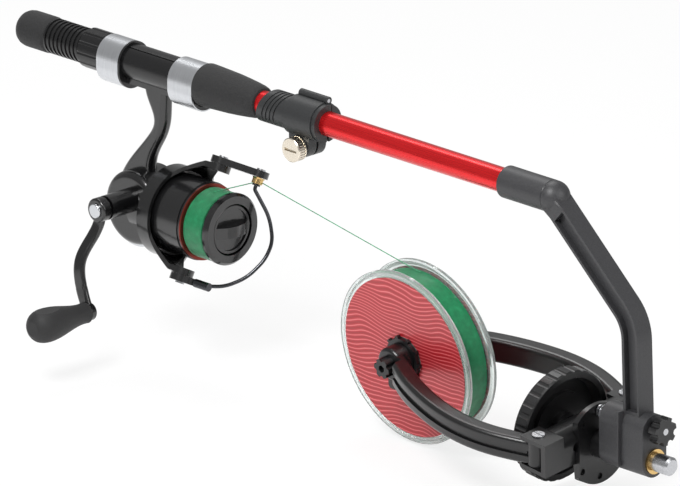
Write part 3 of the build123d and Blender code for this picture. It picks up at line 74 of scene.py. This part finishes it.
toward_camera = Vector((
    math.sin(camera_azimuth) * math.cos(camera_elevation),
    -math.cos(camera_azimuth) * math.cos(camera_elevation),
    math.sin(camera_elevation),
))
bpy.ops.object.camera_add(location=look_at + toward_camera * camera_distance)
camera = bpy.context.object
camera.rotation_euler = toward_camera.to_track_quat("Z", "Y").to_euler()
camera.data.lens = camera.data.sensor_width * camera_distance / view_width
camera.data.clip_end = 40
bpy.context.scene.camera = camera

# ---- the line ------------------------------------------------------------------------------------
# Braided line, 0.6 mm thick, drawn taut off the reel's winding, over the roller on the bail and
# on to the spool of braid. It is the winder's only cord, and both its ends are on windings.


def rgb(code):
    """Linear colour of an sRGB hex value."""
    parts = [int(code[place:place + 2], 16) / 255 for place in (1, 3, 5)]
    parts = [part / 12.92 if part <= 0.04045 else ((part + 0.055) / 1.055) ** 2.4 for part in parts]
    return (*parts, 1.0)


def finish_of(name, colour, roughness, **settings):
    """New material of one Principled shader; the settings are its sockets, with _ for a space."""
    material = bpy.data.materials.new(name)
    material.use_nodes = True
    sockets = material.node_tree.nodes["Principled BSDF"].inputs
    sockets["Base Color"].default_value = rgb(colour)
    sockets["Roughness"].default_value = roughness
    for socket, value in settings.items():
        sockets[socket.replace("_", " ")].default_value = value
    return material


def add(material, kind, values=None, links=None, **settings):
    """Add a node with its own settings, its sockets' values and links from (node, output) pairs."""
    made = material.node_tree.nodes.new(kind)
    for setting, value in settings.items():
        setattr(made, setting, value)
    for socket, value in (values or {}).items():
        made.inputs[socket].default_value = value
    for socket, (source, output) in (links or {}).items():
        material.node_tree.links.new(source.outputs[output], made.inputs[socket])
    return made


def wire_in(material, **outputs):
    """Link (node, output) pairs to the shader's own sockets, with _ for a space."""
    shader = material.node_tree.nodes["Principled BSDF"]
    for socket, (source, output) in outputs.items():
        material.node_tree.links.new(source.outputs[output], shader.inputs[socket.replace("_", " ")])


def tones(material, factor, *stops):
    """Colour ramp with a hex colour at each place, driven by a (node, output) pair."""
    ramp = add(material, "ShaderNodeValToRGB", links={"Fac": factor})
    elements = ramp.color_ramp.elements
    while len(elements) < len(stops):
        elements.new(0.5)
    for element, (place, colour) in zip(elements, stops):
        element.position = place
        element.color = rgb(colour)
    return ramp


def dress(material, *nodes):
    """Give CAD nodes a material."""
    for node in nodes:
        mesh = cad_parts[node].data
        mesh.materials.clear()
        mesh.materials.append(material)


# Woven polyethylene line, dyed green: satin strands that cross every 0.8 mm, drawn coarser than real
# so that they show.
line_finish = finish_of("woven_polyethylene_line", "#1a8a55", 0.5, Sheen_Weight=0.3)
place = add(line_finish, "ShaderNodeTexCoord")
weave = add(line_finish, "ShaderNodeTexNoise", {"Scale": 1 / (0.8 * MM), "Detail": 1.0},
            {"Vector": (place, "Object")})
ramp = tones(line_finish, (weave, "Fac"), (0.35, "#0e5f3a"), (0.62, "#35a873"))
wire_in(line_finish, Base_Color=(ramp, "Color"))

line_d = 0.6 * MM
line_points = [
    (167.70, -3.60, -64.74),
    (176.49, 21.98, -62.71),
    (177.59, 25.17, -62.46),
    (181.10, 24.60, -62.70),
    (342.06, -1.52, -73.71),
]
line_curve = bpy.data.curves.new("taut_line", "CURVE")
line_curve.dimensions = "3D"
run = line_curve.splines.new("NURBS")
run.points.add(len(line_points) - 1)
for control, point in zip(run.points, line_points):
    control.co = (*(Vector(point) * MM), 1)
run.order_u = 3
run.use_endpoint_u = True
line_curve.resolution_u = 24
line_curve.bevel_depth = line_d / 2
line_curve.bevel_resolution = 3
line = bpy.data.objects.new("taut_line", line_curve)
bpy.context.scene.collection.objects.link(line)
line_curve.materials.append(line_finish)
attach(line, "frame")
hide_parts("line_run")

# ---- butt and foregrip ---------------------------------------------------------------------------
# Closed-cell EVA foam, ground to shape and slid over the tube: a domed butt and a tapered foregrip.
# The grinding leaves a fine open grain with a dull, dry skin.


def grain(material, size, depth, spread=0.1, colours=None):
    """Fine surface grain from noise: size in metres, depth of its bump, and the roughness's spread."""
    where = add(material, "ShaderNodeTexCoord")
    noise = add(material, "ShaderNodeTexNoise", {"Scale": 1 / size, "Detail": 3.0},
                {"Vector": (where, "Object")})
    bump = add(material, "ShaderNodeBump", {"Strength": depth, "Distance": size}, {"Height": (noise, "Fac")})
    base = material.node_tree.nodes["Principled BSDF"].inputs["Roughness"].default_value
    rough = add(material, "ShaderNodeMapRange", {"To Min": base - spread, "To Max": base + spread},
                {"Value": (noise, "Fac")})
    wire_in(material, Normal=(bump, "Normal"), Roughness=(rough, "Result"))
    if colours:
        low, high = colours
        ramp = tones(material, (noise, "Fac"), (0.35, low), (0.65, high))
        wire_in(material, Base_Color=(ramp, "Color"))


def only(piece):
    """Select one piece and nothing else."""
    bpy.ops.object.select_all(action="DESELECT")
    piece.select_set(True)
    bpy.context.view_layer.objects.active = piece


def settle(piece, name, material, body, place=None):
    """Name a piece, put its place into its mesh, and give it its finish and body."""
    only(piece)
    piece.name = name
    if place is not None:
        piece.matrix_world = place @ piece.matrix_world
    bpy.ops.object.transform_apply()
    bpy.ops.object.shade_smooth_by_angle(angle=math.radians(35))
    piece.data.materials.clear()
    piece.data.materials.append(material)
    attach(piece, body)
    return piece


def turned(sides, stations):
    """Closed turned shape about X, from places along X and radii in millimetres."""
    (start, radius), *others = stations
    bpy.ops.object.select_all(action="DESELECT")
    bpy.ops.mesh.primitive_circle_add(vertices=sides, radius=radius * MM, fill_type="NGON",
                                      location=(start * MM, 0, 0), rotation=(0, math.radians(90), 0))
    piece = bpy.context.object
    bpy.ops.object.transform_apply()
    bpy.ops.object.mode_set(mode="EDIT")
    bpy.ops.mesh.select_all(action="SELECT")
    for end, end_radius in others:
        bpy.ops.mesh.extrude_region_move(TRANSFORM_OT_translate={"value": ((end - start) * MM, 0, 0)})
        bpy.ops.transform.resize(value=(1, end_radius / radius, end_radius / radius),
                                 center_override=(end * MM, 0, 0))
        start, radius = end, end_radius
    bpy.ops.mesh.select_all(action="SELECT")
    bpy.ops.mesh.normals_make_consistent(inside=False)
    bpy.ops.object.mode_set(mode="OBJECT")
    return piece


foam = finish_of("ground_eva_foam", "#171718", 0.8, Sheen_Weight=0.08)
grain(foam, 0.9 * MM, 0.4, 0.08, ("#101011", "#1f1f20"))

butt = turned(96, [(0, 4.8), (0.5, 6.6), (1.5, 8.2), (3.2, 9.8), (5.2, 10.8), (7.5, 11.25), (10, 11.3),
                   (25.2, 11.3), (26.2, 11.1), (27.0, 10.5), (27.9, 10.4)])
settle(butt, "butt_foam", foam, "frame")
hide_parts("butt_grip")

fore = turned(96, [(158.1, 12.6), (158.5, 13.1), (159.4, 13.3), (164, 13.2), (172, 12.85), (182, 12.4),
                   (190, 11.75), (198, 10.95), (203, 10.3), (205.4, 9.7), (206.6, 8.9), (207, 7.7)])
settle(fore, "foregrip_foam", foam, "frame")
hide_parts("foregrip")

# ---- reel seat -----------------------------------------------------------------------------------
# Glass-filled nylon, injection moulded: barrel, thread, lock nut and both hoods. The mould is
# polished, so it has a soft gloss with a faint flow mottle.
seat_plastic = finish_of("moulded_nylon_semigloss", "#111112", 0.26, Specular_IOR_Level=0.5)
grain(seat_plastic, 3 * MM, 0.015, 0.03)
dress(seat_plastic, "seat_barrel", "seat_lock_nut", "sliding_hood", "fixed_hood")

# Both hoods carry a pressed band of aluminium, brushed round the handle.
band_metal = finish_of("brushed_aluminium", "#b4b6ba", 0.3, Metallic=1.0)
place = add(band_metal, "ShaderNodeTexCoord")
lines = add(band_metal, "ShaderNodeMapping", {"Scale": (1 / (0.25 * MM), 1 / (9 * MM), 1 / (9 * MM))},
            {"Vector": (place, "Object")})
scratch = add(band_metal, "ShaderNodeTexNoise", {"Scale": 1.0, "Detail": 4.0}, {"Vector": (lines, "Vector")})
bump = add(band_metal, "ShaderNodeBump", {"Strength": 0.06, "Distance": 0.05 * MM},
           {"Height": (scratch, "Fac")})
rough = add(band_metal, "ShaderNodeMapRange", {"To Min": 0.3, "To Max": 0.38}, {"Value": (scratch, "Fac")})
ramp = tones(band_metal, (scratch, "Fac"), (0.3, "#c2c4c8"), (0.7, "#d4d6d9"))
wire_in(band_metal, Normal=(bump, "Normal"), Roughness=(rough, "Result"), Base_Color=(ramp, "Color"))
dress(band_metal, "sliding_hood_band", "fixed_hood_band")

# ---- tube ----------------------------------------------------------------------------------------
# Drawn aluminium tube, anodised red over a fine satin etch. It is bare of any print.
tube_finish = finish_of("anodised_aluminium_red", "#d8181d", 0.27, Metallic=0.75, Coat_Weight=0.25,
                        Coat_Roughness=0.12)
place = add(tube_finish, "ShaderNodeTexCoord")
drawn = add(tube_finish, "ShaderNodeMapping", {"Scale": (1 / (30 * MM), 1 / (0.4 * MM), 1 / (0.4 * MM))},
            {"Vector": (place, "Object")})
streak = add(tube_finish, "ShaderNodeTexNoise", {"Scale": 1.0, "Detail": 2.0}, {"Vector": (drawn, "Vector")})
rough = add(tube_finish, "ShaderNodeMapRange", {"To Min": 0.22, "To Max": 0.34}, {"Value": (streak, "Fac")})
ramp = tones(tube_finish, (streak, "Fac"), (0.3, "#cf141a"), (0.7, "#e01e23"))
wire_in(tube_finish, Roughness=(rough, "Result"), Base_Color=(ramp, "Color"))
dress(tube_finish, "main_tube")

# ---- clamp ---------------------------------------------------------------------------------------
# Two hinged halves and a ribbed collar, moulded in ABS with a spark-eroded texture, closed on the
# tube by a nickel-plated thumb screw in a brass nut.
clamp_plastic = finish_of("moulded_abs_textured", "#252627", 0.44)
grain(clamp_plastic, 0.6 * MM, 0.14, 0.05, ("#212223", "#2a2b2c"))
dress(clamp_plastic, "clamp_body", "clamp_jaw", "clamp_collar")

nickel = finish_of("satin_nickel_plate", "#dcd3c4", 0.26, Metallic=1.0)
grain(nickel, 0.5 * MM, 0.08, 0.08)
dress(nickel, "clamp_screw")

steel = finish_of("turned_steel", "#b7b8bb", 0.28, Metallic=1.0)
grain(steel, 0.5 * MM, 0.1, 0.08)
dress(steel, "clamp_hinge_pin", "swivel_shaft", "index_rod", "arm_pivot_pins", "wheel_stud",
      "crank_shaft", "main_shaft", "reel_screws", "bail_screws", "gear_bearings")

brass = finish_of("turned_brass", "#cfae74", 0.22, Metallic=1.0)
grain(brass, 0.5 * MM, 0.06, 0.06)
dress(brass, "clamp_nut", "swivel_bush", "pinion", "line_roller")

# ---- support arm and swivel ----------------------------------------------------------------------
# One large moulding of glass-filled nylon, with the sleeve, the ribbed leg and the hub. The fibres
# leave a dull grey skin with a fine mottle.
arm_plastic = finish_of("glass_filled_nylon", "#303032", 0.46)
grain(arm_plastic, 0.8 * MM, 0.12, 0.05, ("#2c2c2e", "#353537"))
dress(arm_plastic, "support_arm")

knob_plastic = finish_of("moulded_nylon_black", "#131314", 0.36)
grain(knob_plastic, 0.8 * MM, 0.08, 0.04)
dress(knob_plastic, "index_knob", "hand_wheel", "spindle_far", "spindle_near", "cone_far", "cone_near",
      "draw_bar")

# The plunger's return spring, wound from hard drawn wire.


def coil(radius, wire, pitch, turns, sides, steps):
    """Wire wound about X from x = 0, in millimetres, made by screwing a small ring round the axis."""
    bpy.ops.object.select_all(action="DESELECT")
    bpy.ops.mesh.primitive_circle_add(vertices=sides, radius=wire / 2 * MM, fill_type="NOTHING",
                                      location=(radius * MM, 0, 0), rotation=(math.radians(90), 0, 0))
    piece = bpy.context.object
    bpy.ops.object.transform_apply()
    screw = piece.modifiers.new("winding", "SCREW")
    screw.axis = "Z"
    screw.angle = math.radians(360)
    screw.screw_offset = pitch * MM
    screw.iterations = turns
    screw.steps = steps
    screw.render_steps = steps
    bpy.ops.object.modifier_apply(modifier=screw.name)
    bpy.ops.object.mode_set(mode="EDIT")
    bpy.ops.mesh.select_all(action="SELECT")
    bpy.ops.mesh.remove_doubles(threshold=0.01 * MM)
    bpy.ops.mesh.select_all(action="DESELECT")
    bpy.ops.mesh.select_non_manifold()
    bpy.ops.mesh.edge_face_add()
    bpy.ops.mesh.select_all(action="SELECT")
    bpy.ops.mesh.normals_make_consistent(inside=False)
    bpy.ops.object.mode_set(mode="OBJECT")
    piece.rotation_euler = (0, math.radians(90), 0)
    bpy.ops.object.transform_apply()
    return piece


spring_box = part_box("index_spring")
spring_wire = 0.8
spring_turns = 4
spring_r = (spring_box[1].y - spring_box[0].y) / MM / 2 - spring_wire / 2
spring_pitch = ((spring_box[1].x - spring_box[0].x) / MM - spring_wire) / spring_turns
spring = coil(spring_r, spring_wire, spring_pitch, spring_turns, 12, 48)
spring_start = Matrix.Translation((spring_box[0].x + spring_wire / 2 * MM, 0,
                                   (spring_box[0].z + spring_box[1].z) / 2))
settle(spring, "plunger_spring", steel, "frame", spring_start)
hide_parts("index_spring")
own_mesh(spring)

# ---- yoke and arms -------------------------------------------------------------------------------
# Crossbar and two curved arms of ABS from a polished mould, which leaves a soft gloss. The arms
# swing on steel pins in the crossbar's brackets.
yoke_plastic = finish_of("moulded_abs_gloss", "#0e0e0f", 0.3, Coat_Weight=0.1, Coat_Roughness=0.15)
grain(yoke_plastic, 5 * MM, 0.01, 0.03)
dress(yoke_plastic, "yoke_base", "arm_far", "arm_near")

# ---- spool of braid ------------------------------------------------------------------------------
# A clear polystyrene spool with a printed paper label on each flange and green braid on its drum,
# gripped in its bore by the two cones.
yoke_frame = (Matrix.Translation(Vector((482, 0, -140)) * MM)
              @ Matrix.Rotation(math.radians(6.3), 4, "Y") @ Matrix.Rotation(math.radians(7.4), 4, "X"))
spool_centre = yoke_frame @ Matrix.Translation((-144 * MM, 0, 0))
across_yoke = spool_centre @ Matrix.Rotation(math.radians(90), 4, "Z")

clear = finish_of("clear_polystyrene", "#eef5f3", 0.12, Transmission_Weight=0.8, IOR=1.59)
grain(clear, 3 * MM, 0.04, 0.05)
dress(clear, "line_spool_body")

label = finish_of("printed_paper_gloss", "#b3272f", 0.35, Coat_Weight=0.2, Coat_Roughness=0.1)
place = add(label, "ShaderNodeTexCoord")
stretched = add(label, "ShaderNodeMapping", {"Scale": (0.9, 0.9, 1.0)}, {"Vector": (place, "Object")})
ripple = add(label, "ShaderNodeTexWave",
             {"Scale": 120.0, "Distortion": 22.0, "Detail": 1.5, "Detail Scale": 0.22},
             {"Vector": (stretched, "Vector")}, wave_type="BANDS", bands_direction="Z")
ramp = tones(label, (ripple, "Fac"), (0.0, "#92141c"), (0.5, "#a81f27"), (0.85, "#b42b32"), (0.98, "#cc6468"))
wire_in(label, Base_Color=(ramp, "Color"))
dress(label, "spool_labels")

# The braid is level wound: rows of satin line lie side by side.
braid_finish = finish_of("level_wound_braid", "#10774a", 0.34, Sheen_Weight=0.25)
place = add(braid_finish, "ShaderNodeTexCoord")
strands = add(braid_finish, "ShaderNodeTexNoise", {"Scale": 1 / (3.5 * MM), "Detail": 2.0},
              {"Vector": (place, "Object")})
bump = add(braid_finish, "ShaderNodeBump", {"Strength": 0.12, "Distance": 0.1 * MM},
           {"Height": (strands, "Fac")})
ramp = tones(braid_finish, (strands, "Fac"), (0.3, "#0d6f45"), (0.55, "#127a4c"), (0.8, "#1d8a59"))
wire_in(braid_finish, Base_Color=(ramp, "Color"), Normal=(bump, "Normal"))

braid_half = 8.4
braid_bore_r = 26.2
braid_core_depth = 0.3
braid_wire = 0.8
braid_rows = 20
braid_pitch = (2 * braid_half - braid_wire) / braid_rows
braid_r = 49.6
braid_core_r = braid_r - braid_core_depth
core = turned(128, [(-braid_half, braid_bore_r), (-braid_half, braid_core_r),
                    (braid_half, braid_core_r), (braid_half, braid_bore_r)])
rows = coil(braid_r, braid_wire, braid_pitch, braid_rows, 6, 96)
rows.location.x = -(braid_half - braid_wire / 2) * MM
only(rows)
bpy.ops.object.transform_apply()
core.select_set(True)
bpy.ops.object.join()
braid = bpy.context.object
settle(braid, "level_wound_braid", braid_finish, "line_spool", across_yoke)
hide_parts("braid_winding")

# ---- reel body, rotor and crank ------------------------------------------------------------------
# Die-cast aluminium, stove enamelled in gloss black, with a plated trim round the rear. The foot of
# the body is held in the seat's two hoods.
enamel = finish_of("stove_enamel_black", "#0d0d0e", 0.24, Coat_Weight=0.5, Coat_Roughness=0.08)
grain(enamel, 3 * MM, 0.012, 0.03)
dress(enamel, "reel_body", "reel_side_cover", "rotor", "bail_arm", "bail_counter_arm", "crank_arm",
      "reel_spool", "drag_knob")

plate = finish_of("satin_chrome_plate", "#c6c8cb", 0.2, Metallic=1.0)
grain(plate, 1.0 * MM, 0.05, 0.06)
dress(plate, "reel_rear_cover", "crank_cap")

gear_metal = finish_of("cast_zinc", "#a9a69c", 0.4, Metallic=1.0)
grain(gear_metal, 0.8 * MM, 0.15, 0.08)
dress(gear_metal, "drive_gear")

felt = finish_of("pressed_felt", "#6a6258", 0.9, Sheen_Weight=0.3)
grain(felt, 0.7 * MM, 0.5, 0.05)
dress(felt, "drag_washers")

# The bail's wire is stainless, blacked, so its shine is dark.
wire_metal = finish_of("blacked_stainless", "#4a4b4e", 0.22, Metallic=1.0)
grain(wire_metal, 0.7 * MM, 0.05, 0.06)
dress(wire_metal, "bail_wire")

# A ring of brown-red anodised aluminium lies against the spool's back flange.
ring_metal = finish_of("anodised_aluminium_brown", "#7a3128", 0.3, Metallic=0.8)
grain(ring_metal, 0.8 * MM, 0.06, 0.07)
dress(ring_metal, "spool_trim_ring")

# ---- reel's own line -----------------------------------------------------------------------------
# The reel has taken on its first layers of the same braid, wound from the back flange to the lip.
reel_axis = Matrix.Translation((0, 0, -86.5 * MM))
reel_start = 159.9
reel_end = 175.5
reel_wire = 0.7
reel_rows = 21
reel_r = 21.4
reel_bore_r = 17.5
reel_core_depth = 0.25
reel_core_r = reel_r - reel_core_depth
reel_pitch = (reel_end - reel_start - reel_wire) / reel_rows
core = turned(96, [(reel_start, reel_bore_r), (reel_start, reel_core_r),
                   (reel_end, reel_core_r), (reel_end, reel_bore_r)])
rows = coil(reel_r, reel_wire, reel_pitch, reel_rows, 6, 64)
rows.location.x = (reel_start + reel_wire / 2) * MM
only(rows)
bpy.ops.object.transform_apply()
core.select_set(True)
bpy.ops.object.join()
reel_layers = bpy.context.object
settle(reel_layers, "reel_line_layers", braid_finish, "spool_set", reel_axis)
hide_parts("reel_line")

# ---- crank knob ----------------------------------------------------------------------------------
# Soft thermoplastic rubber over a core: slim at its root and full at its end, with a matt skin.
rubber = finish_of("thermoplastic_rubber", "#1a1a1b", 0.66, Sheen_Weight=0.05)
grain(rubber, 0.7 * MM, 0.25, 0.08)
dress(rubber, "crank_knob")

# ---- floor, backdrop and light -------------------------------------------------------------------
# A pale floor under the winder and two soft lamps; the white round it is the floor's and the
# world's colour as the camera sees it.
floor_drop = 2 * MM
bpy.ops.object.select_all(action="DESELECT")
bpy.ops.mesh.primitive_plane_add(size=30, location=(0.27, 0, cad_box[0][2] - floor_drop))
floor = bpy.context.object
floor.name = "pale_floor"
floor_finish = finish_of("pale_floor", "#f4f4f4", 0.9)
floor.data.materials.append(floor_finish)
path = add(floor_finish, "ShaderNodeLightPath")
white = add(floor_finish, "ShaderNodeEmission", {"Color": (1, 1, 1, 1), "Strength": 1.0})
shader = floor_finish.node_tree.nodes["Principled BSDF"]
share = add(floor_finish, "ShaderNodeMath", {1: 0.8}, {0: (path, "Is Camera Ray")}, operation="MULTIPLY")
mix = add(floor_finish, "ShaderNodeMixShader",
          links={0: (share, "Value"), 1: (shader, "BSDF"), 2: (white, "Emission")})
surface = floor_finish.node_tree.nodes["Material Output"].inputs["Surface"]
floor_finish.node_tree.links.new(mix.outputs["Shader"], surface)

world = bpy.context.scene.world or bpy.data.worlds.new("studio")
bpy.context.scene.world = world
world.use_nodes = True
background = world.node_tree.nodes["Background"]
path = world.node_tree.nodes.new("ShaderNodeLightPath")
level = world.node_tree.nodes.new("ShaderNodeMapRange")
level.inputs["To Min"].default_value = 0.38
level.inputs["To Max"].default_value = 1.0
world.node_tree.links.new(path.outputs["Is Camera Ray"], level.inputs["Value"])
world.node_tree.links.new(level.outputs["Result"], background.inputs["Strength"])
background.inputs["Color"].default_value = (1, 1, 1, 1)


def lamp(name, azimuth, elevation, distance, size, power):
    """Square soft lamp that faces the winder."""
    turn = math.radians(azimuth)
    rise = math.radians(elevation)
    away = Vector((math.sin(turn) * math.cos(rise), -math.cos(turn) * math.cos(rise), math.sin(rise)))
    bpy.ops.object.light_add(type="AREA", location=look_at + away * distance)
    made = bpy.context.object
    made.name = name
    made.data.size = size
    made.data.energy = power
    made.rotation_euler = away.to_track_quat("Z", "Y").to_euler()


lamp("key", 12, 50, 1.4, 0.5, 18)
lamp("fill", 95, 28, 1.6, 0.9, 9)
lamp("back", 235, 60, 1.5, 0.7, 8)

bpy.context.scene.view_settings.view_transform = "Standard"
